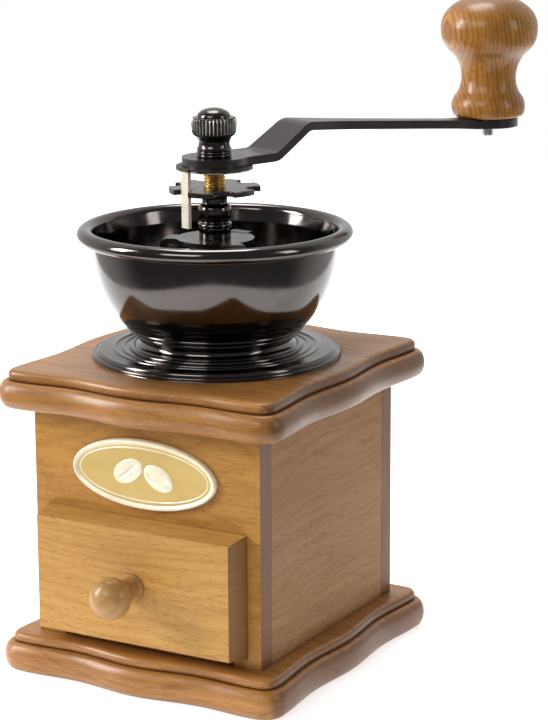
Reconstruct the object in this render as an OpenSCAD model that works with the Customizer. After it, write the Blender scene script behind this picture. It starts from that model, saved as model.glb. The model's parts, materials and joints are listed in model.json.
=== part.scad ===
// Box coffee mill: a wooden case with a drawer, an open metal hopper, and a crank on a burr spindle.
// The origin is the centre of the underside, +Z is up and the drawer opens towards -Y.

/* [Case] */
// Width of the case across the front
case_w = 95; // [92:1:100]
// Depth of the case, front to back
case_d = 101.5; // [98:0.5:106]
// Height of the case walls between the two plates
wall_h = 86.4; // [84:0.2:92]
// Thickness of every case board
board_t = 8; // [7:0.5:9]
// Width of the drawer opening in the front board
opening_w = 72; // [72:0.5:74]
// Height of the drawer opening above the base plate
opening_h = 45.8; // [45:0.2:47]

/* [Moulded plates] */
// Height of the base plate
base_h = 14.2; // [14:0.2:16]
// Height of the top plate
top_h = 13.9; // [13:0.1:16]
// How far the base plate stands out from the case at the sides
base_over = 12.3; // [10:0.1:14]
// How far the top plate stands out from the case at the sides
top_over = 11.8; // [10:0.1:14]
// How much further both plates stand out at the front and back
front_extra = 1.9; // [0:0.1:3]
// Corner radius of the plates
plate_corner_r = 9; // [8:0.5:12]
// Half the depth of the waves along the front and back edges of the plates
front_wave = 1.2; // [0:0.1:2]
// Half the depth of the waves along the side edges of the plates
side_wave = 0.9; // [0:0.1:2]

/* [Hopper] */
// Radius of the hopper's foot flange
flange_r = 46.1; // [45:0.1:48]
// Radius of the hopper wall just under its rim
hopper_r = 45.2; // [44:0.1:46]
// Outer radius of the rolled rim
rim_r = 50.9; // [50:0.1:52]
// Height of the rim's middle above the ground
rim_z = 160.4; // [160:0.1:161]
// Thickness of the hopper wall
hopper_t = 1.5; // [1.2:0.1:2]

/* [Mill] */
// Radius of the spindle
spindle_r = 4; // [4:0.1:4.2]
// Radial clearance of the spindle in its bearings
running_gap = 0.05; // [0.02:0.01:0.1]
// Radius of the notched adjusting disc
adjuster_r = 16.9; // [16:0.1:18]
// Number of notches in the adjusting disc
adjuster_notches = 6; // [5:1:7]
// Radius of the inner burr at its foot
burr_r = 13.2; // [12:0.1:13.2]
// Number of grooves cut in the inner burr
burr_grooves = 10; // [6:1:12]

/* [Crank] */
// Distance from the spindle's axis to the knob's axis
crank_r = 138; // [125:1:145]
// Direction of the crank from +X, turning towards +Y
crank_angle = 68.4; // [0:0.1:360]
// Thickness of the crank's strap
crank_t = 3.2; // [3:0.1:4]
// Height of the wooden knob
knob_h = 47; // [45:0.5:50]

/* [Drawer] */
// Width of the drawer front at its back face
drawer_front_w = 84.2; // [82:0.2:86]
// Height of the drawer front at its back face
drawer_front_h = 46.2; // [45:0.2:48]
// Thickness of the drawer front
drawer_front_t = 10.3; // [9:0.1:12]
// Outer width of the drawer box behind its front
drawer_w = 70; // [68:0.5:70]
// Depth of the drawer box behind its front
drawer_d = 88; // [80:1:90]
// Height of the drawer box
drawer_h = 40; // [36:1:42]

/* [Hidden] */
$fn = 96;

// Heights, from the ground up
wall_top = base_h + wall_h;
deck_z = wall_top + top_h;

// Small gap between faces of pieces that move past each other
slide_gap = 0.2;
// Radial gap round a screw in its hole
screw_gap = 0.1;

// Plates: the lower tier is a half round, the upper tier a small step with a rounded edge
base_tier_h = 10.6;
top_tier_h = 9.9;
tier_depth = 3.4;
groove_in = 4.1;
step_in = 3.7;
step_round = 2;
front_droop = 2.1;
side_droop = 0.1;
side_steps = 16;
corner_steps = 5;

// Screws and dowels
screw_r = 2;
screw_head_r = 3.8;
case_screw_y = 30;
case_screw_top = base_h + 20;
case_screw_recess = 0.6;
dowel_r = 2.5;
dowel_half = 7;

// Hopper
throat_r = 16.8;
floor_z = deck_z + 5.3;
floor_t = 2;
floor_r = 26.6;
wall_axis_z = 158;
wall_centre_r = 14.8;
wall_fall = 40;
bead_z = 126.5;
neck_in_r = 26;
neck_z = deck_z + 4.33;
roll_rx = 3;
roll_rz = 2.7;

// Bearing spider
spider_disc_r = 14.5;
spider_t = 2;
spider_top = 158.4;
spider_leg_w = 8;
spider_leg_r = 20;
spider_angles = [83, 203, 323];
bolt_circle_r = 23.2;
bolt_head_r = 2.7;
foot_r = 25.8;
bush_spigot_r = 5.1;
bush_top = 175.4;

// Burr set
housing_r = 18.5;
housing_bore_r = 16.5;
housing_bottom = 68;
housing_flange_r = 29;
housing_flange_t = 3.2;
lug_r = 25;
lug_w = 11;
lug_t = 7;
lug_screw_r = 21.8;
bridge_t = 3.5;
burr_bottom = 78;
burr_h = 30;
burr_skirt = 4;
burr_top_r = 6.6;
burr_gap = 0.7;
outer_burr_bottom = 76;
outer_burr_top = 110;
outer_grooves = 16;
shoulder_r = 6.8;
shoulder_t = 2;

// Spring
spring_wire_r = 0.6;
spring_r = 6.1;
spring_turns = 9;
spring_steps = 14;
spring_sides = 6;
spring_bottom = burr_bottom + burr_h + shoulder_t + 0.05;
spring_top = spider_top - spider_t - 0.05;

// Spindle stack above the hopper
adjuster_z = 175.5;
adjuster_t = 2;
notch_r = 3.6;
notch_centre_r = 15.9;
notch_angle = 252.9;
washer_z = 183.9;
washer_t = 1.4;
washer_r = 14.1;
tab_z = 163.6;
tab_w = 3.8;
tab_in = 13.2;
tab_out = 14.6;
square_w = 5.6;
hub_z = washer_z + washer_t + 0.02;
hub_top = hub_z + crank_t;
hub_r = 12;
stud_r = 2.75;
stud_top = 202.5;
thread_pitch = 1.25;
thread_depth = 0.55;
thread_bottom = 170;

// Crank
ramp_start = 22.6;
ramp_end = 38.6;
ramp_rise = 9.9;
arm_drop = 5.2;
pad_r = 11.9;
pad_flat = 11;
bend_r = 5;
arm_end_top = hub_top + ramp_rise - (crank_r - pad_flat - ramp_end) * tan(arm_drop);
knob_z = arm_end_top + 0.3;
knob_head_r = 19.2;
pin_r = 2;
pin_proud = 1.5;
pin_head_r = 4;
pin_head_t = 2.2;

// Drawer
drawer_z = base_h + 0.3;
drawer_front_z = base_h + 3.6;
drawer_board_t = 5;
drawer_floor_t = 3;
front_y = -case_d / 2;
drawer_back_face = front_y - slide_gap;
drawer_front_face = drawer_back_face - drawer_front_t;
drawer_bevel = 1.7;
drawer_knob_z = 41;
drawer_knob_ball = 7.7;
drawer_knob_reach = 14.2;
front_screw_x = 22;

// Badge
badge_w = 60.4;
badge_h = 25.9;
badge_t = 1.2;
badge_rim = 2;
badge_z = 80.5;
badge_pin_r = 0.9;

// ---------------------------------------------------------------- curves

// Points on an arc, from angle a0 to a1
function arc(cx, cy, rx, ry, a0, a1, n) =
    [for (i = [0:n]) let (a = a0 + (a1 - a0) * i / n) [cx + rx * cos(a), cy + ry * sin(a)]];

// A point on the smooth curve between b and c, with a and d beyond them
function curve_point(a, b, c, d, t) =
    0.5 * (2 * b + (c - a) * t + (2 * a - 5 * b + 4 * c - d) * t * t + (3 * b - a - 3 * c + d) * t * t * t);

// A smooth curve through all the points of p, with n steps between neighbours
function smooth(p, n) = concat(
    [for (i = [0:len(p) - 2]) for (k = [0:n - 1])
        curve_point(p[max(i - 1, 0)], p[i], p[i + 1], p[min(i + 2, len(p) - 1)], k / n)],
    [p[len(p) - 1]]);

// A bend of radius r between the directions from b to a and from b to c
function bend(a, b, c, r, n) =
    let (u = (a - b) / norm(a - b), v = (c - b) / norm(c - b))
    let (half = acos(u * v) / 2, reach = r / tan(half))
    [for (i = [0:n]) let (t = i / n)
        (1 - t) * (1 - t) * (b + u * reach) + 2 * t * (1 - t) * b + t * t * (b + v * reach)];

// One edge of a plate's outline: waves with crests at both ends and in the middle
function wavy_edge(run, out, wave, droop) =
    [for (i = [0:side_steps]) let (u = 2 * i / side_steps - 1)
        [u * run, -(out - wave * (1 - cos(360 * u)) - droop * u * u)]];

// One quarter of the outline: the edge facing -Y, then the corner of radius r round [cx, -cy]
function plate_quarter(cx, cy, r, out, wave, droop) = concat(
    wavy_edge(cx, out, wave, droop),
    [for (i = [1:corner_steps]) let (a = -90 + 90 * i / (corner_steps + 1))
        [cx + r * cos(a), -cy + r * sin(a)]]);

function turned(p, a) = [for (q = p) [q[0] * cos(a) - q[1] * sin(a), q[0] * sin(a) + q[1] * cos(a)]];

// The whole outline, whose edges reach hx and hy at their middles
function plate_outline(hx, hy, r) =
    let (cx = hx - side_droop - r, cy = hy - front_droop - r)
    let (front = plate_quarter(cx, cy, r, hy, front_wave, front_droop))
    let (side = plate_quarter(cy, cx, r, hx, side_wave, side_droop))
    concat(front, turned(side, 90), turned(front, 180), turned(side, 270));

// Inset and height of each ring of a plate's moulded edge
function plate_profile(h, tier_h) = concat(
    [for (a = [-75:25:75]) [tier_depth * (1 - cos(a)), tier_h * (1 + sin(a) / sin(75)) / 2]],
    [[groove_in, tier_h + 0.05], [step_in, tier_h + 0.4]],
    [for (a = [0:30:90]) [step_in + step_round * (1 - cos(a)), h - step_round * (1 - sin(a))]]);

// ---------------------------------------------------------------- shared shapes

// A plate with a moulded, wavy edge, its underside at z = 0
module moulded_plate(over, h, tier_h) {
    rings = plate_profile(h, tier_h);
    outlines = [for (ring = rings) plate_outline(case_w / 2 + over - ring[0],
        case_d / 2 + over + front_extra - ring[0], plate_corner_r - ring[0])];
    n = len(outlines[0]);
    m = len(rings);
    points = [for (i = [0:m - 1]) for (q = outlines[i])
        [q[0], q[1], i == 0 ? 0 : i == m - 1 ? h : rings[i][1]]];
    sides = [for (i = [0:m - 2]) for (j = [0:n - 1]) let (k = (j + 1) % n)
        each [[i * n + j, (i + 1) * n + j, (i + 1) * n + k], [i * n + j, (i + 1) * n + k, i * n + k]]];
    floor_face = [[for (j = [0:n - 1]) j]];
    roof_face = [[for (j = [n - 1:-1:0]) (m - 1) * n + j]];
    polyhedron(points, concat(sides, floor_face, roof_face), convexity = 4);
}

module block(x0, x1, y0, y1, z0, z1) {
    translate([x0, y0, z0]) cube([x1 - x0, y1 - y0, z1 - z0]);
}

module rod(r, z0, z1) {
    translate([0, 0, z0]) cylinder(r = r, h = z1 - z0);
}

// Places its children at the bolt circle, once for each spider leg
module at_bolts() {
    for (a = spider_angles) rotate(a) translate([bolt_circle_r, 0, 0]) children();
}

module at_case_screws() {
    for (sx = [-1, 1]) for (sy = [-1, 1])
        translate([sx * (case_w - board_t) / 2, sy * case_screw_y, 0]) children();
}

module at_bridge_screws() {
    for (s = [-1, 1]) translate([s * lug_screw_r, 0, 0]) children();
}

// Points its children's +Z along -Y, from the given place
module facing_front(x, y, z) {
    translate([x, y, z]) rotate([90, 0, 0]) children();
}

// A wood screw's outline, head down, its head's underside at z = 0
module countersunk_screw(length, r) {
    rotate_extrude() polygon([[0, 0], [screw_head_r, 0], [screw_head_r, 0.4], [r, 2.6],
        [r, length - 3], [0.3, length], [0, length]]);
}

module slot_cut(w, depth) {
    translate([-w / 2, -0.5, -0.01]) cube([w, 1, depth + 0.01]);
}

// ---------------------------------------------------------------- case

module base_plate() {
    color("#a8642c") difference() {
        moulded_plate(base_over, base_h, base_tier_h);
        at_case_screws() rod(screw_r + screw_gap, -1, base_h + 1);
        at_case_screws() rod(screw_head_r + 0.4, -1, case_screw_recess + 2.6);
    }
}

module base_screws() {
    color("#8d8a83") at_case_screws() translate([0, 0, case_screw_recess])
        difference() {
            countersunk_screw(case_screw_top - case_screw_recess, screw_r);
            slot_cut(2 * screw_head_r, 1);
        }
}

// The front board: its drawer opening runs down to the base plate
module front_panel() {
    color("#e0bc8c") difference() {
        block(-case_w / 2, case_w / 2, front_y, front_y + board_t, base_h, wall_top);
        block(-opening_w / 2, opening_w / 2, front_y - 1, front_y + board_t + 1,
            base_h - 1, base_h + opening_h);
        for (s = [-1, 1]) facing_front(s * (badge_w / 2 - 3), front_y, badge_z)
            rod(badge_pin_r + screw_gap / 2, -5, 1);
    }
}

module back_panel() {
    color("#e0bc8c") block(-case_w / 2, case_w / 2, case_d / 2 - board_t, case_d / 2, base_h, wall_top);
}

module side_panel() {
    difference() {
        block(case_w / 2 - board_t, case_w / 2,
            -case_d / 2 + board_t, case_d / 2 - board_t, base_h, wall_top);
        for (s = [-1, 1]) translate([(case_w - board_t) / 2, s * case_screw_y, 0]) {
            rod(screw_r + screw_gap, base_h - 1, case_screw_top + 1);
            rod(dowel_r + screw_gap / 2, wall_top - dowel_half, wall_top + 1);
        }
    }
}

module right_side_panel() {
    color("#dcb684") side_panel();
}

module left_side_panel() {
    color("#dcb684") mirror([1, 0, 0]) side_panel();
}

module drawer_guide() {
    block(drawer_w / 2 + slide_gap, case_w / 2 - board_t, -case_d / 2 + board_t,
        case_d / 2 - board_t, base_h, base_h + 12);
}

module right_drawer_guide() {
    color("#cfa873") drawer_guide();
}

module left_drawer_guide() {
    color("#cfa873") mirror([1, 0, 0]) drawer_guide();
}

module top_dowels() {
    color("#cfa873") at_case_screws()
        rod(dowel_r, wall_top - dowel_half + 0.2, wall_top + dowel_half - 0.2);
}

module top_plate() {
    color("#a8642c") difference() {
        translate([0, 0, wall_top]) moulded_plate(top_over, top_h, top_tier_h);
        rod(housing_r + 0.2, wall_top - 1, deck_z + 1);
        at_bolts() rod(screw_r + screw_gap, wall_top - 1, deck_z + 1);
        at_case_screws() rod(dowel_r + screw_gap / 2, wall_top - 1, wall_top + dowel_half);
    }
}

// Oval plate with a raised rim and a raised bean, held by two pins
module badge() {
    color("#d9b45a") facing_front(0, front_y, badge_z) {
        difference() {
            linear_extrude(badge_t + 0.6) polygon(arc(0, 0, badge_w / 2, badge_h / 2, 0, 357, 119));
            translate([0, 0, badge_t]) linear_extrude(2)
                polygon(arc(0, 0, badge_w / 2 - badge_rim, badge_h / 2 - badge_rim, 0, 357, 119));
        }
        translate([0, 0, badge_t - 0.1]) linear_extrude(0.6) difference() {
            polygon(arc(0, 0, 9, 6.5, 0, 354, 59));
            polygon(concat(arc(0, 4, 1.6, 4, 90, 270, 10), arc(0, -4, 1.6, 4, 90, -90, 10),
                arc(0, -4, 0.8, 3.2, -90, 90, 10), arc(0, 4, 0.8, 3.2, 270, 90, 10)));
        }
        for (s = [-1, 1]) translate([s * (badge_w / 2 - 3), 0, 0]) {
            rod(badge_pin_r, -4.5, 0.1);
            translate([0, 0, badge_t - 0.1]) cylinder(r1 = 1.5, r2 = 0.9, h = 0.6);
        }
    }
}

// ---------------------------------------------------------------- hopper

// The bowl's wall is a quarter of an ellipse, set in by the given amount
function hopper_wall(inset, z0, z1, n) =
    [for (i = [0:n]) let (z = z0 + (z1 - z0) * i / n)
        [wall_centre_r + (hopper_r - wall_centre_r - inset)
            * sqrt(1 - pow((wall_axis_z - z) / (wall_fall - inset), 2)), z]];

// Foot ring: a rounded lip, then fine turned rings up to the neck
function foot_profile() = concat(
    [[neck_in_r, neck_z], [neck_in_r, deck_z], [flange_r, deck_z]],
    arc(flange_r - 0.7, deck_z + 0.9, 0.7, 0.7, 0, 80, 4),
    arc(flange_r - 3, deck_z + 1.5, 1.2, 1.4, 0, 90, 5),
    [for (r = [37.8, 34.6]) each arc(r, deck_z + 2.9, 0.6, 0.55, 0, 180, 6)],
    arc(31.4, deck_z + 3.3, 1, 0.9, -20, 170, 8),
    [[29.8, neck_z]]);

// The neck: a hollow and two beads under the bowl
function neck_profile() = concat(
    arc(30.7, deck_z + 6.4, 2.6, 2.2, 250, 130, 8),
    arc(30.2, deck_z + 9.2, 1, 0.9, -80, 70, 6),
    arc(32, deck_z + 11.2, 1.3, 0.9, -70, 60, 6));

module hopper_foot() {
    color("#2f2d2e") rotate_extrude() polygon(foot_profile());
}

module hopper_bowl() {
    color("#2f2d2e") difference() {
        rotate_extrude() polygon(concat(
            [[throat_r, floor_z - floor_t], [neck_in_r, floor_z - floor_t],
                [neck_in_r, neck_z + 0.02], [29.8, neck_z + 0.02]],
            neck_profile(),
            hopper_wall(0, bead_z, wall_axis_z - 0.5, 12),
            arc(rim_r - roll_rx, rim_z, roll_rx, roll_rz, -110, 180, 18),
            hopper_wall(hopper_t, wall_axis_z - 1, 123.1, 12),
            [[floor_r, floor_z + 1.4], [floor_r - 0.4, floor_z]],
            [[throat_r, floor_z]]));
        at_bolts() rod(screw_r + screw_gap, floor_z - floor_t - 1, floor_z + 1);
    }
}

// Side view of one leg: out from the disc, down, and out again to a bolted foot
module spider_leg_side() {
    corner_top = [spider_leg_r, spider_top];
    corner_low = [spider_leg_r - spider_t, floor_z];
    polygon(concat(
        [[spider_disc_r - 4, spider_top]],
        bend([0, spider_top], corner_top, [spider_leg_r, 0], 3, 5),
        [[spider_leg_r, floor_z + spider_t], [foot_r, floor_z + spider_t], [foot_r, floor_z]],
        bend([foot_r, floor_z], corner_low, corner_low + [0, 9], 1.5, 4),
        bend(corner_low, corner_low + [0, spider_top - floor_z - spider_t],
            [0, spider_top - spider_t], 1.2, 4),
        [[spider_disc_r - 4, spider_top - spider_t]]));
}

module bearing_spider() {
    color("#4a4645") difference() {
        union() {
            rod(spider_disc_r, spider_top - spider_t, spider_top);
            for (a = spider_angles) rotate(a) translate([0, spider_leg_w / 2, 0])
                rotate([90, 0, 0]) linear_extrude(spider_leg_w) spider_leg_side();
        }
        rod(bush_spigot_r + 0.03, spider_top - spider_t - 1, spider_top + 1);
        at_bolts() rod(screw_r + screw_gap, floor_z - 1, floor_z + spider_t + 1);
    }
}

// Turned pillar that carries the spindle above the spider
module spindle_bush() {
    z = spider_top;
    bore = spindle_r + running_gap;
    color("#2f2d2e") rotate_extrude() polygon(concat(
        [[bore, z - spider_t], [bush_spigot_r, z - spider_t], [bush_spigot_r, z]],
        [[5.9, z], [5.9, z + 4]],
        arc(5.5, z + 4.9, 0.8, 0.9, -70, 70, 6),
        [[5.3, z + 6.2]],
        arc(4.6, z + 8.6, 1.5, 2, -60, 0, 4),
        arc(4.6, z + 10.4, 1.5, 2.4, 0, 80, 5),
        [[4.7, z + 13.2], [4.8, bush_top - 1.2], [5.2, bush_top - 0.8], [5.2, bush_top], [bore, bush_top]]));
}

module spider_bolts() {
    color("#8d8a83") at_bolts() difference() {
        union() {
            rod(bolt_head_r, floor_z + spider_t, floor_z + spider_t + 1.8);
            rod(screw_r, wall_top - housing_flange_t - 4.5, floor_z + spider_t + 0.5);
        }
        translate([0, 0, floor_z + spider_t + 1]) cube([8, 1, 2], center = true);
    }
}

module spider_nuts() {
    color("#8d8a83") at_bolts() difference() {
        translate([0, 0, wall_top - housing_flange_t - 3.2]) cylinder(r = 4, h = 3.2, $fn = 6);
        rod(screw_r + screw_gap / 2, 0, wall_top);
    }
}

// ---------------------------------------------------------------- burr set

// Tube under the hopper's throat, bolted to the underside of the top plate
module burr_housing() {
    flange_z = wall_top - housing_flange_t;
    color("#55504d") difference() {
        union() {
            rod(housing_r, housing_bottom, floor_z - floor_t);
            rod(housing_flange_r, flange_z, wall_top);
            block(-lug_r, lug_r, -lug_w / 2, lug_w / 2, housing_bottom, housing_bottom + lug_t);
        }
        rod(housing_bore_r, housing_bottom - 1, floor_z);
        at_bolts() rod(screw_r + screw_gap, flange_z - 1, wall_top + 1);
        at_bridge_screws() rod(screw_r + screw_gap / 2, housing_bottom - 1, housing_bottom + lug_t + 1);
    }
}

module outer_burr() {
    mouth_r = housing_bore_r - 0.7;
    bite_r = burr_r + burr_gap;
    color("#6b6663") difference() {
        rotate_extrude() polygon([
            [housing_bore_r, outer_burr_bottom], [housing_bore_r, outer_burr_top],
            [mouth_r, outer_burr_top], [bite_r, outer_burr_top - 20], [bite_r, outer_burr_bottom]]);
        for (i = [0:outer_grooves - 1]) rotate(i * 360 / outer_grooves)
            block(bite_r - 1, bite_r + 1, -0.8, 0.8, outer_burr_bottom - 1, outer_burr_top - 6);
    }
}

// Bar that steadies the foot of the spindle
module lower_bridge() {
    color("#6b6663") difference() {
        union() {
            block(-lug_r, lug_r, -lug_w / 2, lug_w / 2, housing_bottom - bridge_t, housing_bottom);
            rod(8, housing_bottom - bridge_t, housing_bottom);
        }
        rod(spindle_r + running_gap, housing_bottom - 10, housing_bottom + 1);
        at_bridge_screws() rod(screw_r + screw_gap, housing_bottom - 10, housing_bottom + 1);
    }
}

module lower_bridge_screws() {
    head_z = housing_bottom - bridge_t;
    color("#8d8a83") at_bridge_screws() difference() {
        union() {
            rod(3.4, head_z - 2, head_z);
            rod(screw_r, head_z - 0.5, housing_bottom + lug_t);
        }
        translate([0, 0, head_z - 2]) cube([8, 1, 1.8], center = true);
    }
}

module inner_burr() {
    foot_z = burr_bottom + burr_skirt;
    slope = atan((burr_r - burr_top_r) / (burr_h - burr_skirt));
    color("#6b6663") difference() {
        rotate_extrude() polygon([
            [spindle_r + 0.02, burr_bottom], [burr_r - 0.5, burr_bottom], [burr_r, burr_bottom + 0.5],
            [burr_r, foot_z], [burr_top_r, burr_bottom + burr_h], [spindle_r + 0.02, burr_bottom + burr_h]]);
        for (i = [0:burr_grooves - 1]) rotate(i * 360 / burr_grooves)
            translate([burr_r, 0, foot_z]) rotate([18, -slope, 0])
                translate([-1.6, -0.9, -3]) cube([3, 1.8, burr_h + 4]);
    }
}

module burr_nut() {
    color("#8d8a83") difference() {
        translate([0, 0, burr_bottom - 5.5]) cylinder(r = 7.5, h = 5.5, $fn = 6);
        rod(spindle_r + 0.02, burr_bottom - 6, burr_bottom + 1);
    }
}

// Ridges of the thread, as rings one pitch apart
function thread_rings(r, z0, z1) =
    [for (i = [0:floor((z1 - z0) / thread_pitch) - 1]) let (z = z0 + i * thread_pitch)
        each [[r - thread_depth, z], [r, z + 0.45 * thread_pitch],
            [r, z + 0.55 * thread_pitch], [r - thread_depth, z + thread_pitch]]];

module spindle() {
    collar_z = burr_bottom + burr_h;
    square_z = washer_z - 0.2;
    color("#c89a3c") union() {
        rotate_extrude() polygon(concat(
            [[0, housing_bottom - bridge_t - 1], [spindle_r, housing_bottom - bridge_t - 1]],
            [[spindle_r, collar_z], [shoulder_r, collar_z], [shoulder_r, collar_z + shoulder_t],
                [spindle_r, collar_z + shoulder_t], [spindle_r, thread_bottom]],
            thread_rings(spindle_r, thread_bottom, square_z),
            [[0, square_z]]));
        translate([-square_w / 2, -square_w / 2, square_z - 0.2])
            cube([square_w, square_w, hub_top - square_z]);
        rod(stud_r, hub_top - 0.5, stud_top);
    }
}

// A coil of round wire, its ends on the spindle's collar and under the spider
module burr_spring() {
    n = spring_turns * spring_steps;
    rise = spring_top - spring_bottom - 2 * spring_wire_r;
    points = [for (i = [0:n]) let (a = 360 * i / spring_steps)
        for (k = [0:spring_sides - 1]) let (b = 360 * k / spring_sides)
            [(spring_r + spring_wire_r * cos(b)) * cos(a),
                (spring_r + spring_wire_r * cos(b)) * sin(a),
                spring_bottom + spring_wire_r + rise * i / n + spring_wire_r * sin(b)]];
    sides = [for (i = [0:n - 1]) for (k = [0:spring_sides - 1])
        let (l = (k + 1) % spring_sides, p = i * spring_sides, q = (i + 1) * spring_sides)
        each [[p + k, p + l, q + l], [p + k, q + l, q + k]]];
    start_face = [[for (k = [spring_sides - 1:-1:0]) k]];
    end_face = [[for (k = [0:spring_sides - 1]) n * spring_sides + k]];
    color("#9a978f") polyhedron(points, concat(sides, start_face, end_face), convexity = 10);
}

// ---------------------------------------------------------------- above the hopper

module adjusting_disc() {
    color("#6a6667") difference() {
        rod(adjuster_r, adjuster_z, adjuster_z + adjuster_t);
        rod(spindle_r + running_gap, adjuster_z - 1, adjuster_z + adjuster_t + 1);
        for (i = [0:adjuster_notches - 1]) rotate(notch_angle + i * 360 / adjuster_notches)
            translate([notch_centre_r, 0, 0]) {
                rod(notch_r, adjuster_z - 1, adjuster_z + adjuster_t + 1);
                block(0, notch_r, -notch_r, notch_r, adjuster_z - 1, adjuster_z + adjuster_t + 1);
            }
    }
}

module square_hole(z0, z1) {
    w = square_w + 0.1;
    block(-w / 2, w / 2, -w / 2, w / 2, z0, z1);
}

// Washer whose tab hangs through a notch and keeps the adjusting disc from turning
module lock_washer() {
    color("#b9b4a8") difference() {
        union() {
            rod(washer_r, washer_z, washer_z + washer_t);
            rotate(notch_angle) block(tab_in, tab_out, -tab_w / 2, tab_w / 2, tab_z, washer_z + washer_t);
        }
        square_hole(washer_z - 1, washer_z + washer_t + 1);
    }
}

// Side view of the crank: flat hub, ramp, long arm that drops a little, level pad
module crank_side() {
    r_pad = crank_r - pad_flat;
    top = [[-hub_r - 1, hub_top], [ramp_start, hub_top], [ramp_end, hub_top + ramp_rise],
        [r_pad, arm_end_top], [crank_r + pad_r + 1, arm_end_top]];
    // Each bend is moved down square to both of its runs, so the strap keeps its thickness
    a0 = 0;
    a1 = atan(ramp_rise / (ramp_end - ramp_start));
    a2 = -arm_drop;
    down = [for (a = [[a0, a0], [a0, a1], [a1, a2], [a2, a0], [a0, a0]])
        let (mid = (a[0] + a[1]) / 2, reach = crank_t / cos((a[0] - a[1]) / 2))
        [reach * sin(mid), -reach * cos(mid)]];
    low = top + down;
    polygon(concat(
        [top[0]], bend(top[0], top[1], top[2], bend_r, 5), bend(top[1], top[2], top[3], bend_r + crank_t, 5),
        [top[3], top[4], low[4], low[3]],
        bend(low[3], low[2], low[1], bend_r, 5),
        bend(low[2], low[1], low[0], bend_r + crank_t, 5), [low[0]]));
}

// Half width of the strap along its length
strap_widths = [
    [-2, 10.5], [8, 9.6], [22, 9], [38, 8], [56, 5.6], [80, 4.5], [105, 4.1], [119, 4.6], [131, 8.4],
];

// Everything inside the crank's plan: hub, tapering strap and pad
module crank_plan() {
    edge = smooth(strap_widths, 5);
    z0 = hub_z - 1;
    z1 = hub_top + ramp_rise + 2;
    rod(hub_r, z0, z1);
    translate([crank_r, 0, 0]) rod(pad_r, z0, z1);
    translate([0, 0, z0]) linear_extrude(z1 - z0)
        polygon(concat(edge, [for (i = [len(edge) - 1:-1:0]) [edge[i][0], -edge[i][1]]]));
}

module crank_arm() {
    color("#5a5657") rotate(crank_angle) difference() {
        intersection() {
            translate([0, 15, 0]) rotate([90, 0, 0]) linear_extrude(30) crank_side();
            union() crank_plan();
        }
        rotate(-crank_angle) square_hole(hub_z - 1, hub_top + 1);
        translate([crank_r, 0, 0]) rod(pin_r + screw_gap / 2, hub_z - 1, hub_top + ramp_rise + 2);
    }
}

// Outline of the fluted part of the cap nut
function flutes(r, depth, n, steps) =
    [for (i = [0:n * steps - 1]) let (a = 360 * i / (n * steps))
        [(r - depth * (1 - cos(n * a)) / 2) * cos(a), (r - depth * (1 - cos(n * a)) / 2) * sin(a)]];

module cap_nut() {
    z = hub_top + 0.02;
    outline = concat(
        [[0, z], [6.2, z]],
        arc(6, z + 0.6, 0.4, 0.5, -60, 60, 4),
        arc(6, z + 1.7, 0.4, 0.5, -60, 60, 4),
        [[6, z + 2.3]],
        arc(10.2, z + 4.8, 4.5, 3.6, 215, 150, 6),
        [[7.6, z + 8], [8.2, z + 8.8], [8.3, z + 11], [8.2, z + 13.6], [7.8, z + 14.3], [6.4, z + 14.4]],
        arc(0, z + 14.4, 6.2, 3.4, 0, 90, 8));
    color("#2f2d2e") difference() {
        intersection() {
            rotate_extrude() polygon(outline);
            translate([0, 0, z - 1]) union() {
                rod(6.7, 0, 30);
                translate([0, 0, 8.3]) linear_extrude(7.3) polygon(flutes(8.12, 0.65, 36, 6));
                rod(9, 15.2, 30);
            }
        }
        rod(stud_r + 0.05, z - 1, stud_top + 0.5);
    }
}

// ---------------------------------------------------------------- knob

module at_knob() {
    rotate(crank_angle) translate([crank_r, 0, 0]) children();
}

// Long screw: riveted under the crank's pad, its head sunk in the knob's top
module knob_screw() {
    top = knob_z + knob_h - 2;
    color("#8d8a83") at_knob() difference() {
        union() {
            rod(pin_r + 0.4, arm_end_top - crank_t - pin_proud, arm_end_top - crank_t);
            rod(pin_r, arm_end_top - crank_t - 0.1, top - 1);
            rod(pin_head_r, top - pin_head_t, top);
        }
        translate([0, 0, top]) cube([2 * pin_head_r + 1, 1.1, 1.6], center = true);
    }
}

// Turned wooden knob: a rounded foot, a waist and a wide head
module crank_knob() {
    z = knob_z;
    h = knob_h / 47;
    side = [[11.8, 0], [13.8, 0.8], [14.55, 2.8], [14.5, 5.6], [13.6, 8], [11.9, 10.6],
        [10.95, 14], [10.9, 17], [11.7, 20.8], [13.6, 24.2], [16.5, 27.2], [18.5, 30.4],
        [knob_head_r, 34.4], [18.9, 38],
        [17.2, 41.6], [14, 44.6], [10.6, 46.4], [7.7, 47]];
    bore = pin_r + running_gap;
    color("#b0742f") at_knob() rotate_extrude() polygon(concat(
        [[bore, z]],
        [for (q = smooth(side, 3)) [q[0], z + q[1] * h]],
        [[pin_head_r + 0.5, z + knob_h], [pin_head_r + 0.5, z + knob_h - 2.3 - pin_head_t],
            [bore, z + knob_h - 2.3 - pin_head_t]]));
}

// ---------------------------------------------------------------- drawer

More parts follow.
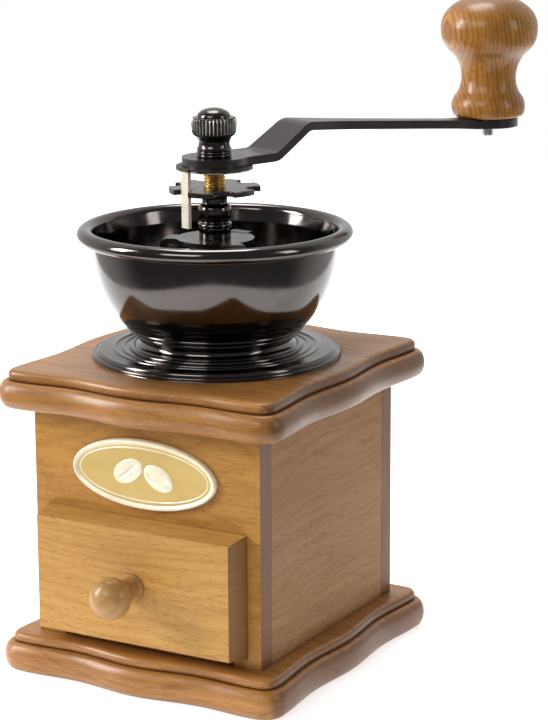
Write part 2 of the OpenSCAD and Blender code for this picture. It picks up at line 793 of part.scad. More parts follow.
// Thick board whose four edges slope in towards its face
module drawer_front() {
    z0 = drawer_front_z;
    z1 = z0 + drawer_front_h;
    w = drawer_front_w / 2;
    b = drawer_bevel;
    color("#e6c596") difference() {
        intersection() {
            translate([0, 0, z0]) linear_extrude(drawer_front_h) polygon([
                [-w, drawer_back_face], [-w + b, drawer_front_face],
                [w - b, drawer_front_face], [w, drawer_back_face]]);
            rotate([90, 0, 90]) translate([0, 0, -w]) linear_extrude(2 * w) polygon([
                [drawer_back_face, z0], [drawer_front_face, z0 + b],
                [drawer_front_face, z1 - b], [drawer_back_face, z1]]);
        }
        facing_front(0, 0, drawer_knob_z) rod(screw_r + screw_gap, -front_y - 1, 80);
        for (s = [-1, 1]) facing_front(s * front_screw_x, 0, drawer_knob_z)
            rod(1.7, -front_y - 1, -drawer_back_face + 7.5);
    }
}

module drawer_inner_front() {
    y = drawer_back_face;
    w = drawer_w / 2 - drawer_board_t;
    color("#d8b27e") difference() {
        block(-w, w, y, y + drawer_board_t, drawer_z, drawer_z + drawer_h);
        facing_front(0, 0, drawer_knob_z) rod(screw_r + screw_gap, 0, 80);
        for (s = [-1, 1]) facing_front(s * front_screw_x, 0, drawer_knob_z) rod(1.7, 0, 80);
    }
}

module drawer_side() {
    block(drawer_w / 2 - drawer_board_t, drawer_w / 2, drawer_back_face,
        drawer_back_face + drawer_d, drawer_z, drawer_z + drawer_h);
}

module drawer_right_side() {
    color("#d8b27e") drawer_side();
}

module drawer_left_side() {
    color("#d8b27e") mirror([1, 0, 0]) drawer_side();
}

module drawer_back() {
    y = drawer_back_face + drawer_d;
    w = drawer_w / 2 - drawer_board_t;
    color("#d8b27e") block(-w, w, y - drawer_board_t, y, drawer_z, drawer_z + drawer_h);
}

module drawer_bottom() {
    w = drawer_w / 2 - drawer_board_t;
    color("#cfa873") block(-w, w, drawer_back_face + drawer_board_t,
        drawer_back_face + drawer_d - drawer_board_t, drawer_z + 2, drawer_z + 2 + drawer_floor_t);
}

// Round knob on a waisted neck, turned about the Y axis
module drawer_knob() {
    ball = drawer_knob_ball;
    reach = drawer_knob_reach;
    color("#d9a15c") facing_front(0, drawer_front_face, drawer_knob_z) difference() {
        rotate_extrude() polygon(concat(
            [[0, 0], [5.3, 0]],
            smooth([[5.3, 0.5], [4.6, 1.8], [4.3, 4], [4.6, 6.2], [5.6, reach - 6.1]], 3),
            arc(0, reach - 0.6, ball, ball * 0.94, -40, 90, 16)));
        rod(screw_r + screw_gap / 2, -1, 10.5);
    }
}

module drawer_knob_screw() {
    head_y = drawer_back_face + drawer_board_t;
    color("#8d8a83") facing_front(0, head_y, drawer_knob_z) difference() {
        union() {
            rod(3.8, -2, 0);
            rod(screw_r, -0.5, drawer_board_t + drawer_front_t + 10);
        }
        translate([0, 0, -2]) cube([8, 1, 1.6], center = true);
    }
}

module drawer_front_screws() {
    head_y = drawer_back_face + drawer_board_t;
    color("#8d8a83") for (s = [-1, 1]) facing_front(s * front_screw_x, head_y, drawer_knob_z) difference() {
        union() {
            rod(3.2, -1.8, 0);
            rod(1.6, -0.5, drawer_board_t + 7);
        }
        translate([0, 0, -1.8]) cube([8, 0.9, 1.4], center = true);
    }
}

base_plate();
base_screws();
front_panel();
back_panel();
left_side_panel();
right_side_panel();
left_drawer_guide();
right_drawer_guide();
top_dowels();
top_plate();
badge();
hopper_foot();
hopper_bowl();
bearing_spider();
spindle_bush();
spider_bolts();
spider_nuts();
burr_housing();
outer_burr();
lower_bridge();
lower_bridge_screws();
adjusting_disc();
spindle();
inner_burr();
burr_nut();
burr_spring();
lock_washer();
crank_arm();
cap_nut();
knob_screw();
crank_knob();
drawer_front();
drawer_inner_front();
drawer_left_side();
drawer_right_side();
drawer_back();
drawer_bottom();
drawer_knob();
drawer_knob_screw();
drawer_front_screws();
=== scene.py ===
"""Looks of the box coffee mill, built on its CAD frame."""
import json
import math

import bmesh
import bpy
from mathutils import Matrix, Vector

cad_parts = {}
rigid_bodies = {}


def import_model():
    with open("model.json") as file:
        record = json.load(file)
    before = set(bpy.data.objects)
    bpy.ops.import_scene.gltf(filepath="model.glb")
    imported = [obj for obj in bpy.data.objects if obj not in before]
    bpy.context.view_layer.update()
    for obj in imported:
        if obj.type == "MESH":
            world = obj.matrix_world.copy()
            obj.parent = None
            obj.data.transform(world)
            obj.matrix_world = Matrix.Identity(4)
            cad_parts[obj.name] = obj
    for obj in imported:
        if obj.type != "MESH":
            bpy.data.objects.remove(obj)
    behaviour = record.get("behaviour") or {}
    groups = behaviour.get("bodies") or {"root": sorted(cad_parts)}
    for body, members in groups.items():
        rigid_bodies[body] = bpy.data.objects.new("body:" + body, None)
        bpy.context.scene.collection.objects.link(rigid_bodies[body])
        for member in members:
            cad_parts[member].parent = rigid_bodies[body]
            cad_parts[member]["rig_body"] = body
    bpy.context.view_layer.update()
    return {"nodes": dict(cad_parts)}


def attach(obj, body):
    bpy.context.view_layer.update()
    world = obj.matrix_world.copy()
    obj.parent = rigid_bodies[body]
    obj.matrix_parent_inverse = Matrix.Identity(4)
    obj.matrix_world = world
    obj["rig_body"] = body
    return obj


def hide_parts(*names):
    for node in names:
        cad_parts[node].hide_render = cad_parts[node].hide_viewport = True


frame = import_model()
NODES = frame["nodes"]
MM = 0.001
CRANK_TURN = 68.4  # the crank's direction at rest, in degrees from +X

# ------------------------------------------------------------------ camera

camera_data = bpy.data.cameras.new("camera")
camera = bpy.data.objects.new("camera", camera_data)
bpy.context.scene.collection.objects.link(camera)
camera_data.lens = 122.93
camera_data.sensor_width = 36
camera_data.clip_start = 0.02
camera_data.clip_end = 60
CAMERA_AT = (0.45765, -0.76483, 0.32594)
AZIMUTH = math.radians(29.517)
PITCH = math.radians(13.515)
ROLL = math.radians(-0.308)
look = Vector((-math.sin(AZIMUTH) * math.cos(PITCH), math.cos(AZIMUTH) * math.cos(PITCH), -math.sin(PITCH)))
right = look.cross(Vector((0, 0, 1))).normalized()
up = right.cross(look)
level_right = right * math.cos(ROLL) + up * math.sin(ROLL)
level_up = up * math.cos(ROLL) - right * math.sin(ROLL)
turn = Matrix((level_right, level_up, -look)).transposed().to_4x4()
camera.matrix_world = Matrix.Translation(CAMERA_AT) @ turn
bpy.context.scene.camera = camera
bpy.context.scene.view_settings.view_transform = "Standard"

# ------------------------------------------------------------------ node trees


class Tree:
    """A material's nodes, made by short calls. Any input may be a number, a colour or another node's output."""

    def __init__(self, name):
        self.material = bpy.data.materials.new(name)
        self.material.use_nodes = True
        self.nodes = self.material.node_tree.nodes
        self.links = self.material.node_tree.links
        self.nodes.clear()
        self.output = self.nodes.new("ShaderNodeOutputMaterial")
        self.shader = self.nodes.new("ShaderNodeBsdfPrincipled")
        self.links.new(self.shader.outputs["BSDF"], self.output.inputs["Surface"])

    def put(self, socket, value):
        if isinstance(value, bpy.types.NodeSocket):
            self.links.new(value, socket)
        elif isinstance(value, (tuple, list)) and socket.type == "RGBA":
            socket.default_value = (*value[:3], 1.0)
        else:
            socket.default_value = value

    def surface(self, **values):
        for key, value in values.items():
            self.put(self.shader.inputs[key.replace("_", " ")], value)

    def place(self):
        """Position in millimetres, in the frame of the part."""
        coords = self.nodes.new("ShaderNodeTexCoord").outputs["Object"]
        return self.scaled(coords, (1000, 1000, 1000))

    def facing(self):
        return self.nodes.new("ShaderNodeTexCoord").outputs["Normal"]

    def vector(self, operation, a, b=None, out="Vector"):
        node = self.nodes.new("ShaderNodeVectorMath")
        node.operation = operation
        self.put(node.inputs[0], a)
        if b is not None:
            self.put(node.inputs["Scale"] if operation == "SCALE" else node.inputs[1], b)
        return node.outputs[out]

    def scaled(self, vector, factors):
        return self.vector("MULTIPLY", vector, factors)

    def turned(self, vector, angles, offset=(0, 0, 0)):
        node = self.nodes.new("ShaderNodeMapping")
        self.put(node.inputs["Vector"], vector)
        node.inputs["Rotation"].default_value = [math.radians(a) for a in angles]
        node.inputs["Location"].default_value = offset
        return node.outputs["Vector"]

    def parts(self, vector):
        node = self.nodes.new("ShaderNodeSeparateXYZ")
        self.put(node.inputs[0], vector)
        return node.outputs["X"], node.outputs["Y"], node.outputs["Z"]

    def join(self, x, y, z):
        node = self.nodes.new("ShaderNodeCombineXYZ")
        for socket, value in zip(node.inputs, (x, y, z)):
            self.put(socket, value)
        return node.outputs[0]

    def math(self, operation, a, b=0.0, c=None):
        node = self.nodes.new("ShaderNodeMath")
        node.operation = operation
        self.put(node.inputs[0], a)
        self.put(node.inputs[1], b)
        if c is not None:
            self.put(node.inputs[2], c)
        return node.outputs[0]

    def noise(self, vector, detail=3.0, roughness=0.5, distortion=0.0, out="Fac"):
        node = self.nodes.new("ShaderNodeTexNoise")
        self.put(node.inputs["Vector"], vector)
        node.inputs["Scale"].default_value = 1.0
        node.inputs["Detail"].default_value = detail
        node.inputs["Roughness"].default_value = roughness
        node.inputs["Distortion"].default_value = distortion
        return node.outputs[out]

    def cells(self, vector):
        node = self.nodes.new("ShaderNodeTexVoronoi")
        self.put(node.inputs["Vector"], vector)
        node.inputs["Scale"].default_value = 1.0
        return node.outputs["Distance"]

    def ramp(self, fac, stops, smooth=True):
        """stops are (position, value), each value a number or a colour."""
        node = self.nodes.new("ShaderNodeValToRGB")
        ramp = node.color_ramp
        ramp.interpolation = "EASE" if smooth else "LINEAR"
        while len(ramp.elements) < len(stops):
            ramp.elements.new(0.5)
        for element, (position, value) in zip(ramp.elements, stops):
            element.position = position
            colour = value if isinstance(value, (tuple, list)) else (value, value, value)
            element.color = (*colour[:3], 1.0)
        self.put(node.inputs["Fac"], fac)
        return node.outputs["Color"]

    def mix(self, fac, a, b, blend="MIX"):
        node = self.nodes.new("ShaderNodeMix")
        node.data_type = "RGBA"
        node.blend_type = blend
        node.clamp_factor = True
        self.put(node.inputs["Factor"], fac)
        self.put(node.inputs[6], a)
        self.put(node.inputs[7], b)
        return node.outputs[2]

    def bump(self, height, strength, distance, normal=None):
        node = self.nodes.new("ShaderNodeBump")
        node.inputs["Strength"].default_value = strength
        node.inputs["Distance"].default_value = distance * MM
        self.put(node.inputs["Height"], height)
        if normal is not None:
            self.put(node.inputs["Normal"], normal)
        return node.outputs["Normal"]

    def attribute(self, name):
        node = self.nodes.new("ShaderNodeAttribute")
        node.attribute_name = name
        return node.outputs["Fac"]

    def shade_in_corners(self, distance):
        """1 in the open, towards 0 in corners nearer than distance (mm)."""
        node = self.nodes.new("ShaderNodeAmbientOcclusion")
        node.samples = 4
        node.inputs["Distance"].default_value = distance * MM
        return node.outputs["AO"]


GRAIN_TURNS = {"X": (0, 0, 0), "Y": (0, 0, -90), "Z": (0, 90, 0)}
GRAIN_AXES = {"X": (1, 0, 0), "Y": (0, 1, 0), "Z": (0, 0, 1)}
SEED_STEP = (37.1, 11.7, 53.3)


def wood(name, grain, light, dark, fleck_and_shade, end, seed, lean=(0, 0, 0), pith=(0, 60, -22), ring=3.2,
         ring_strength=0.35, fleck_strength=0.55, fleck_size=1.0, rough=0.42, coat=0.25, coat_rough=0.18, wave=1.0,
         groove_shade=None, bump=0.25):
    """Lacquered beech. The grain runs along an axis, rings lie round a pith beside the board, and rays show as
    flecks. Colours are of the early wood, the late wood, the flecks and the end grain; the fleck colour is also
    painted into corners and where parts meet as shade. Lengths are in mm."""
    t = Tree(name)
    shift = [seed * step for step in SEED_STEP]
    place = t.turned(t.place(), GRAIN_TURNS[grain])
    place = t.turned(place, lean, shift)
    drift = t.noise(t.scaled(place, (0.011, 0.03, 0.03)), 2.0, 0.45, out="Color")
    drift = t.scaled(t.vector("SUBTRACT", drift, (0.5, 0.5, 0.5)), (0, 40 * wave, 40 * wave))
    centre = (shift[0], shift[1] + pith[1], shift[2] + pith[2])
    about = t.vector("ADD", t.vector("SUBTRACT", place, centre), drift)
    about = t.scaled(about, (0, 1 / ring, 1 / ring))
    fine = t.noise(t.scaled(place, (0.05, 0.9, 0.9)), 2.0)
    turns = t.math("ADD", t.vector("LENGTH", about, out="Value"), t.math("MULTIPLY", fine, 0.5))
    late = t.ramp(t.math("FRACT", turns), [(0.0, 0.6), (0.18, 0.15), (0.5, 0.0), (0.8, 0.5), (0.95, 1.0)])
    year = t.noise(t.join(t.math("FLOOR", turns), seed + 0.5, 0.5), 0.0)
    late = t.math("MULTIPLY", late, t.math("MULTIPLY_ADD", year, 1.2, 0.15))
    streak = t.noise(t.scaled(place, (0.02, 0.42, 0.42)), 4.0, 0.6)
    fibre = t.noise(t.scaled(place, (0.10, 2.3, 2.3)), 3.0, 0.65)
    patch = t.noise(t.scaled(place, (0.012, 0.02, 0.02)), 1.0)
    tone = t.math("MULTIPLY_ADD", late, ring_strength, t.math("MULTIPLY", streak, 0.75))
    tone = t.math("ADD", tone, t.math("MULTIPLY", fibre, 0.38))
    tone = t.math("ADD", tone, t.math("MULTIPLY", patch, 0.35))
    colour = t.mix(t.ramp(tone, [(0.42, 0.0), (1.12, 1.0)], False), light, dark)
    size = 1 / fleck_size
    short = t.cells(t.scaled(place, (0.17 * size, 1.9 * size, 1.9 * size)))
    crowd = t.noise(t.scaled(place, (0.03, 0.06, 0.06)), 2.0)
    reach = t.math("MULTIPLY_ADD", crowd, 0.30, 0.10)
    dashes = t.math("SUBTRACT", 1.0, t.math("DIVIDE", short, reach))
    dashes = t.ramp(dashes, [(0.0, 0.0), (0.4, 1.0)])
    colour = t.mix(t.math("MULTIPLY", dashes, fleck_strength), colour, fleck_and_shade)
    axis = GRAIN_AXES[grain]
    across = t.math("ABSOLUTE", t.vector("DOT_PRODUCT", t.facing(), axis, out="Value"))
    end_grain = t.ramp(across, [(0.55, 0.0), (0.85, 1.0)])
    pores = t.noise(t.scaled(place, (1.6, 1.6, 1.6)), 2.0, 0.7)
    end_streak = t.noise(t.scaled(place, (0.5, 0.16, 1.5)), 3.0, 0.6)
    end_tone = t.math("ADD", t.math("MULTIPLY", late, 0.10), t.math("MULTIPLY", pores, 0.45))
    end_tone = t.math("ADD", end_tone, t.math("MULTIPLY", end_streak, 0.45))
    end_colour = t.mix(t.ramp(end_tone, [(0.30, 0.0), (0.75, 0.75)]), end, fleck_and_shade)
    colour = t.mix(end_grain, colour, end_colour)
    # Painted shade: a darker colour multiplied in by the vertices' groove share, in the plates' groove and at their
    # bottom edge.
    if groove_shade:
        colour = t.mix(t.attribute("groove"), colour, groove_shade, "MULTIPLY")
    # Painted shade: the colour darkens towards the fleck colour in corners and where parts meet.
    corners = t.shade_in_corners(3.0)
    colour = t.mix(t.ramp(corners, [(0.25, 0.42), (0.85, 1.0)]), fleck_and_shade, colour)
    smear = t.noise(t.scaled(place, (0.03, 0.07, 0.07)), 4.0, 0.6)
    roughness = t.math("ADD", rough - 0.08, t.math("MULTIPLY", smear, 0.16))
    roughness = t.math("ADD", roughness, t.math("MULTIPLY", dashes, 0.10))
    height = t.math("SUBTRACT", t.math("MULTIPLY", fibre, 0.6), t.math("MULTIPLY", dashes, 0.55))
    height = t.math("SUBTRACT", height, t.math("MULTIPLY", late, 0.15))
    ripple = t.noise(t.scaled(place, (0.02, 0.05, 0.05)), 1.0)
    normal = t.bump(ripple, 0.25, 0.9)
    normal = t.bump(height, bump, 0.10, normal)
    t.surface(Base_Color=colour, Roughness=roughness, Normal=normal, Coat_Weight=coat, Coat_Roughness=coat_rough,
              Coat_IOR=1.48, IOR=1.5, Specular_IOR_Level=0.35)
    t.put(t.shader.inputs["Coat Normal"], t.bump(ripple, 0.2, 0.8))
    return t.material


def metal(name, colour, stain, rough, brushed=None, brush_strength=0.3, smudge=0.06, pits=0.0, turned=False,
          dark_above=None, worn_beyond=None):
    """Plated or bare metal: a colour, a second tone in soft stains, brushing and handling marks.

    brushed is the brushing's direction in degrees, and None runs it round the spindle's axis. Ridges that stand out
    further than worn_beyond (mm) from that axis are rubbed pale. Above dark_above (mm) the metal is dark.
    """
    t = Tree(name)
    place = t.place()
    cloud = t.noise(t.scaled(place, (0.05, 0.05, 0.05)), 4.0, 0.55)
    base = t.mix(t.math("MULTIPLY", t.ramp(cloud, [(0.3, 0.0), (0.75, 1.0)]), 0.25), colour, stain)
    if brushed is None:
        x, y, z = t.parts(place)
        around = t.math("SQRT", t.math("ADD", t.math("MULTIPLY", x, x), t.math("MULTIPLY", y, y)))
        spacing = t.math("MULTIPLY", around, 5.0 if turned else 2.2)
        lines = t.noise(t.join(spacing, t.math("MULTIPLY", z, 5.0), 0.5), 3.0, 0.6)
    else:
        lines = t.noise(t.scaled(t.turned(place, (0, 0, brushed)), (0.05, 4.5, 4.5)), 3.0, 0.7)
    smears = t.noise(t.scaled(place, (0.16, 0.16, 0.22)), 5.0, 0.65, 0.6)
    specks = t.cells(t.scaled(place, (0.9, 0.9, 0.9)))
    dust = t.ramp(specks, [(0.0, 1.0), (0.12, 0.0)])
    roughness = t.math("MULTIPLY_ADD", t.ramp(smears, [(0.42, 0.0), (0.72, 1.0)]), smudge, rough)
    roughness = t.math("ADD", roughness, t.math("MULTIPLY", dust, 0.10))
    roughness = t.math("ADD", roughness, t.math("MULTIPLY", lines, 0.10 * brush_strength))
    base = t.mix(t.math("MULTIPLY", t.math("MULTIPLY", lines, lines), 0.5 * brush_strength), base, stain)
    height = lines
    if pits:
        grit = t.noise(t.scaled(place, (1.1, 1.1, 1.1)), 4.0, 0.7)
        height = t.math("ADD", lines, t.math("MULTIPLY", grit, 3.0 * pits))
        base = t.mix(t.math("MULTIPLY", t.ramp(grit, [(0.5, 0.0), (0.75, 1.0)]), pits), base, (0.10, 0.05, 0.03))
    if worn_beyond:
        ridge = t.ramp(t.math("MULTIPLY", t.math("SUBTRACT", around, worn_beyond), 2.0), [(0.0, 0.0), (0.7, 1.0)])
        ridge = t.math("MULTIPLY", ridge, t.ramp(smears, [(0.3, 0.5), (0.6, 1.0)]))
        base = t.mix(ridge, base, (0.740, 0.700, 0.640))
        roughness = t.math("MULTIPLY_ADD", ridge, 0.22, roughness)
    if dark_above:
        # Darker above a ragged line near dark_above.
        ragged_height = t.math("MULTIPLY_ADD", t.math("SUBTRACT", smears, 0.5), 2.5, t.parts(place)[2])
        dark = t.ramp(t.math("SUBTRACT", ragged_height, dark_above), [(0.0, 0.0), (0.5, 1.0)])
        base = t.mix(dark, base, (0.085, 0.076, 0.070))
    t.surface(Base_Color=base, Metallic=1.0, Roughness=roughness,
              Normal=t.bump(height, 0.12 * brush_strength + 0.02, 0.05))
    return t.material


BEECH = dict(light=(0.540, 0.278, 0.062), dark=(0.360, 0.158, 0.024), fleck_and_shade=(0.150, 0.056, 0.008),
             ring_strength=0.22, fleck_strength=0.65, coat=0.12, coat_rough=0.30, rough=0.48)
# Beech for the side panels: less lacquer and larger flecks than the front's, and darker colours that are partly the
# boards' own tone and partly painted shade.
SIDE = dict(light=(0.390, 0.195, 0.068), dark=(0.250, 0.112, 0.028), fleck_and_shade=(0.130, 0.052, 0.012),
            ring_strength=0.20, fleck_strength=0.70, coat=0.04, coat_rough=0.35, rough=0.56, fleck_size=1.25)
# Stained beech for the plates; its groove colour is painted shade for the moulding's groove.
STAINED = dict(light=(0.520, 0.245, 0.060), dark=(0.235, 0.086, 0.013), fleck_and_shade=(0.110, 0.036, 0.005),
               ring_strength=0.12, rough=0.42, coat=0.40, coat_rough=0.27, fleck_strength=0.45,
               groove_shade=(0.24, 0.15, 0.10), bump=0.16)
END = (0.160, 0.058, 0.014)
STAINED_END = (0.190, 0.078, 0.022)
RAW_END = (0.33, 0.18, 0.08)
RAW = dict(light=(0.560, 0.370, 0.190), dark=(0.420, 0.250, 0.115), fleck_and_shade=(0.270, 0.140, 0.060), rough=0.62,
           coat=0.0, end=RAW_END)

panel_front = wood("beech_panel_front", "X", **BEECH, seed=1, end=END, pith=(0, 90, 12))
panel_right = wood("beech_panel_right", "Y", **SIDE, seed=2, lean=(17, 0, 0), pith=(0, -60, 150), end=END)
panel_left = wood("beech_panel_left", "Y", **SIDE, seed=3, lean=(-8, 0, 0), pith=(0, 60, 120), end=END)
panel_back = wood("beech_panel_back", "X", **BEECH, seed=4, end=END, pith=(0, -70, 20))
drawer_face = wood("beech_drawer_front", "X", light=(0.600, 0.335, 0.092), dark=(0.420, 0.205, 0.040),
                   fleck_and_shade=(0.170, 0.066, 0.012), seed=5, pith=(0, -80, -30), ring=3.8, end=(0.230, 0.110, 0.028),
                   ring_strength=0.24, fleck_strength=0.60, coat=0.12, coat_rough=0.30, rough=0.48)
raw_x = wood("beech_inner_x", "X", **RAW, seed=6)
raw_y = wood("beech_inner_y", "Y", **RAW, seed=7)
raw_z = wood("beech_dowel", "Z", **RAW, seed=8)
drawer_floor = wood("beech_drawer_floor", "Y", light=(0.50, 0.33, 0.17), dark=(0.36, 0.22, 0.11),
                    fleck_and_shade=(0.25, 0.14, 0.07), seed=9, rough=0.66, coat=0.0, ring=6.0, end=RAW_END)
stained_top = wood("stained_beech_top", "X", **STAINED, seed=10, pith=(0, 20, -60), end=STAINED_END)
stained_base = wood("stained_beech_base", "X", **STAINED, seed=11, pith=(0, -20, -70), end=STAINED_END)
knob_wood = wood("knob_beech", "Z", light=(0.600, 0.285, 0.050), dark=(0.250, 0.090, 0.010),
                 fleck_and_shade=(0.120, 0.040, 0.005), seed=12, lean=(10, 12, 0), pith=(0, 6, 14), ring=1.7,
                 ring_strength=0.30, rough=0.40, coat=0.30, coat_rough=0.16, end=(0.330, 0.140, 0.030), wave=0.5,
                 bump=0.10)
small_knob_wood = wood("small_knob_beech", "X", light=(0.500, 0.290, 0.096), dark=(0.340, 0.170, 0.048),
                       fleck_and_shade=(0.210, 0.090, 0.024), seed=13, pith=(0, 30, 9), rough=0.38, coat=0.30,
                       coat_rough=0.2, ring_strength=0.2, end=(0.430, 0.240, 0.078), bump=0.10)

black_nickel = metal("black_nickel", (0.120, 0.108, 0.102), (0.080, 0.063, 0.055), 0.10, smudge=0.06,
                     brush_strength=0.15)
black_nickel_fine = metal("black_nickel_turned", (0.120, 0.108, 0.100), (0.080, 0.066, 0.058), 0.10, smudge=0.06,
                          brush_strength=0.5, turned=True)
cap_nickel = metal("black_nickel_knurled", (0.100, 0.090, 0.084), (0.064, 0.052, 0.046), 0.15, smudge=0.08,
                   brush_strength=0.3, worn_beyond=7.75)
gunmetal_arm = metal("gunmetal_crank", (0.100, 0.089, 0.087), (0.055, 0.046, 0.043), 0.24, brushed=-CRANK_TURN,
                     brush_strength=1.0, smudge=0.10)
gunmetal = metal("gunmetal", (0.135, 0.122, 0.114), (0.070, 0.060, 0.054), 0.20, brush_strength=0.8, smudge=0.10)
bright_nickel = metal("bright_nickel", (0.860, 0.790, 0.660), (0.560, 0.480, 0.360), 0.40, brushed=0,
                      brush_strength=0.9, smudge=0.14, dark_above=183.9)
brass = metal("brass", (0.800, 0.520, 0.170), (0.480, 0.280, 0.080), 0.22, turned=True, brush_strength=0.9,
              smudge=0.12)
cast_iron = metal("cast_iron", (0.130, 0.125, 0.120), (0.070, 0.062, 0.056), 0.52, brush_strength=0.4, pits=0.5)
zinc = metal("zinc_plated_steel", (0.470, 0.460, 0.440), (0.300, 0.285, 0.260), 0.30, turned=True, smudge=0.12)
spring_steel = metal("spring_steel", (0.430, 0.420, 0.400), (0.260, 0.240, 0.220), 0.24, smudge=0.10)

# ------------------------------------------------------------------ meshes


def add(name, mesh, material, body, replaces=None):
    piece = bpy.data.objects.new(name, mesh)
    bpy.context.scene.collection.objects.link(piece)
    mesh.materials.append(material)
    if replaces:
        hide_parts(*replaces)
    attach(piece, body)
    return piece


def finish_mesh(mesh, angle=32):
    """Smooth shading, kept sharp where faces meet at more than the angle."""
    for polygon in mesh.polygons:
        polygon.use_smooth = True
    mesh.set_sharp_from_angle(angle=math.radians(angle))
    mesh.update()


def lathe(name, profile, segments=144, relief=None, centre=(0, 0), closed=False, angle=32, placed=None):
    """Turns (radius, height) points, in mm, round a vertical axis. relief(angle, radius, height) gives a point's
    own radius. placed moves the mesh in place of centre."""
    bm = bmesh.new()
    rings = []
    for r, z in profile:
        if r < 1e-6:
            rings.append([bm.verts.new((0, 0, z))])
            continue
        ring = []
        for k in range(segments):
            a = 2 * math.pi * k / segments
            rr = relief(a, r, z) if relief else r
            ring.append(bm.verts.new((rr * math.cos(a), rr * math.sin(a), z)))
        rings.append(ring)
    pairs = list(zip(rings, rings[1:])) + ([(rings[-1], rings[0])] if closed else [])
    for low, high in pairs:
        for k in range(segments):
            n = (k + 1) % segments
            if len(low) == 1 and len(high) == 1:
                continue
            if len(low) == 1:
                bm.faces.new((low[0], high[n], high[k]))
            elif len(high) == 1:
                bm.faces.new((low[k], low[n], high[0]))
            else:
                bm.faces.new((low[k], low[n], high[n], high[k]))
    bmesh.ops.recalc_face_normals(bm, faces=bm.faces)
    where = placed or Matrix.Translation((centre[0], centre[1], 0))
    bm.transform(Matrix.Scale(MM, 4) @ where)
    mesh = bpy.data.meshes.new(name)
    bm.to_mesh(mesh)
    bm.free()
    finish_mesh(mesh, angle)
    return mesh


def arc(cx, cy, rx, ry, a0, a1, n):
    steps = [math.radians(a0 + (a1 - a0) * i / n) for i in range(n + 1)]
    return [(cx + rx * math.cos(a), cy + ry * math.sin(a)) for a in steps]


def spline(points, n):
    """A smooth curve through the points, n steps between neighbours."""
    out = []
    for i in range(len(points) - 1):
        a, b = points[max(i - 1, 0)], points[i]
        c, d = points[i + 1], points[min(i + 2, len(points) - 1)]
        for k in range(n):
            t = k / n
            out.append(tuple(
                0.5 * (2 * q + (r - p) * t + (2 * p - 5 * q + 4 * r - s) * t * t
                       + (3 * q - p - 3 * r + s) * t ** 3)
                for p, q, r, s in zip(a, b, c, d)))
    return out + [points[-1]]


def eased(points, radius, steps=4):
    """The same outline with each inner corner rounded by about the radius."""
    out = [points[0]]
    for before, here, after in zip(points, points[1:], points[2:]):
        b, h, a = Vector(before), Vector(here), Vector(after)
        u, v = b - h, a - h
        if u.length < 1e-6 or v.length < 1e-6:
            continue
        if u.normalized().dot(v.normalized()) < -0.94:
            out.append(here)
            continue
        reach = min(radius, u.length * 0.45, v.length * 0.45)
        p, q = h + u.normalized() * reach, h + v.normalized() * reach
        for i in range(steps + 1):
            t = i / steps
            out.append(tuple(p * (1 - t) ** 2 + h * 2 * t * (1 - t) + q * t ** 2))
    return out + [points[-1]]


def round_edges(piece, width, angle):
    bevel = piece.modifiers.new("rounded_edges", "BEVEL")
    bevel.width = width * MM
    bevel.segments = 3
    bevel.limit_method = "ANGLE"
    bevel.angle_limit = math.radians(angle)
    bevel.use_clamp_overlap = True
    bevel.harden_normals = True


def refined(node, width, material):
    """A piece like the CAD node, with its edges rounded by width (mm) as real ones are."""
    bm = bmesh.new()
    bm.from_mesh(NODES[node].data)
    bmesh.ops.remove_doubles(bm, verts=bm.verts, dist=2e-6)
    bmesh.ops.dissolve_limit(bm, angle_limit=math.radians(1.0), verts=bm.verts, edges=bm.edges,
                             delimit={"NORMAL"})
    mesh = bpy.data.meshes.new(node + "_detailed")
    bm.to_mesh(mesh)
    bm.free()
    finish_mesh(mesh)
    piece = add(node + "_detailed", mesh, material, NODES[node]["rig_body"], [node])
    round_edges(piece, width, 28)


def paint(node, material):
    data = NODES[node].data
    data.materials.clear()
    data.materials.append(material)


# ------------------------------------------------------------------ case

CASE_W, CASE_D, BASE_H, WALL_TOP, DECK = 95.0, 101.5, 14.2, 100.6, 114.5
FRONT_EXTRA, PLATE_CORNER = 1.9, 9
FRONT_WAVE, FRONT_DROOP, SIDE_WAVE, SIDE_DROOP = 1.2, 2.1, 0.9, 0.1
TIER_DEPTH, STEP_IN, STEP_ROUND = 3.4, 3.7, 2


def plate_outline(hx, hy, r, side=72, corner=14):
    """Outline that reaches hx and hy, with waves along each edge that crest at both ends and in the middle."""
    cx, cy = hx - SIDE_DROOP - r, hy - FRONT_DROOP - r
    points = []
    for turn_by in range(4):
        if turn_by % 2:
            long, far, out, wave, droop = cy, cx, hx, SIDE_WAVE, SIDE_DROOP
        else:
            long, far, out, wave, droop = cx, cy, hy, FRONT_WAVE, FRONT_DROOP
        quarter = []
        for i in range(side + 1):
            u = 2 * i / side - 1
            quarter.append((u * long, -(out - wave * (1 - math.cos(2 * math.pi * u)) - droop * u * u)))
        for i in range(1, corner + 1):
            a = math.radians(-90 + 90 * i / (corner + 1))
            quarter.append((long + r * math.cos(a), -far + r * math.sin(a)))
        a = math.pi / 2 * turn_by
        points += [(x * math.cos(a) - y * math.sin(a), x * math.sin(a) + y * math.cos(a)) for x, y in quarter]
    return points


